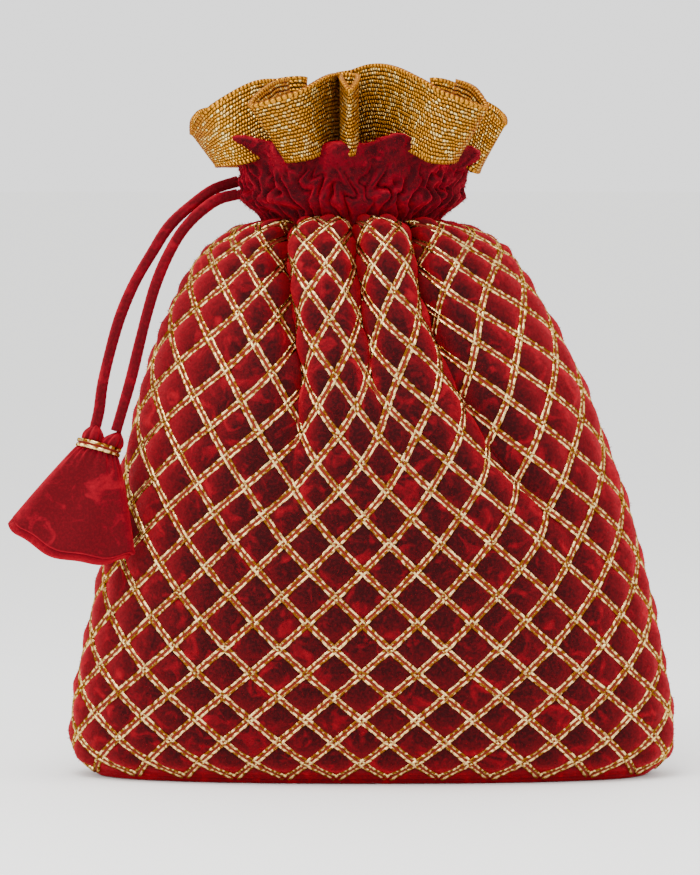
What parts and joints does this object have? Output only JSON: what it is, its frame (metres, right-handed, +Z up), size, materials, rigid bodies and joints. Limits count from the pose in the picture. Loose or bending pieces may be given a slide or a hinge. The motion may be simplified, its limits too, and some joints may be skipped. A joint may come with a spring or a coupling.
{
  "type": "drawstring bag",
  "caption": "Dark crimson velvet potli bag with a gold braided diamond lattice, a gold ribbon ruffle at the mouth, and a drawstring cord ending in a velvet tassel cone.",
  "frame": {"origin": "the middle of the footprint at floor level, under the standing bag", "axes": "+Z up through the gathered neck; +X to the right of a viewer facing the front; -Y out of the front face"},
  "size_m": [0.2267, 0.1001, 0.2408],
  "materials": {
    "velvet": "short pile velvet",
    "velvet_cord": "rolled and stitched velvet",
    "gold_ribbon": "woven metallic thread",
    "gold_braid": "woven metallic thread"
  },
  "bodies": {
    "root": {"bag_body": "velvet", "neck_frill": "velvet", "gold_ruffle": "gold_ribbon", "drawstring": "velvet_cord", "tassel_cone": "velvet", "tassel_band": "gold_braid", "braid_rising_01": "gold_braid", "braid_rising_02": "gold_braid", "braid_rising_03": "gold_braid", "braid_rising_04": "gold_braid", "braid_rising_05": "gold_braid", "braid_rising_06": "gold_braid", "braid_rising_07": "gold_braid", "braid_rising_08": "gold_braid", "braid_rising_09": "gold_braid", "braid_rising_10": "gold_braid", "braid_rising_11": "gold_braid", "braid_rising_12": "gold_braid", "braid_rising_13": "gold_braid", "braid_rising_14": "gold_braid", "braid_rising_15": "gold_braid", "braid_rising_16": "gold_braid", "braid_rising_17": "gold_braid", "braid_rising_18": "gold_braid", "braid_rising_19": "gold_braid", "braid_rising_20": "gold_braid", "braid_rising_21": "gold_braid", "braid_rising_22": "gold_braid", "braid_rising_23": "gold_braid", "braid_rising_24": "gold_braid", "braid_rising_25": "gold_braid", "braid_falling_01": "gold_braid", "braid_falling_02": "gold_braid", "braid_falling_03": "gold_braid", "braid_falling_04": "gold_braid", "braid_falling_05": "gold_braid", "braid_falling_06": "gold_braid", "braid_falling_07": "gold_braid", "braid_falling_08": "gold_braid", "braid_falling_09": "gold_braid", "braid_falling_10": "gold_braid", "braid_falling_11": "gold_braid", "braid_falling_12": "gold_braid", "braid_falling_13": "gold_braid", "braid_falling_14": "gold_braid", "braid_falling_15": "gold_braid", "braid_falling_16": "gold_braid", "braid_falling_17": "gold_braid", "braid_falling_18": "gold_braid", "braid_falling_19": "gold_braid", "braid_falling_20": "gold_braid", "braid_falling_21": "gold_braid", "braid_falling_22": "gold_braid", "braid_falling_23": "gold_braid", "braid_falling_24": "gold_braid", "braid_falling_25": "gold_braid"}
  },
  "joints": []
}
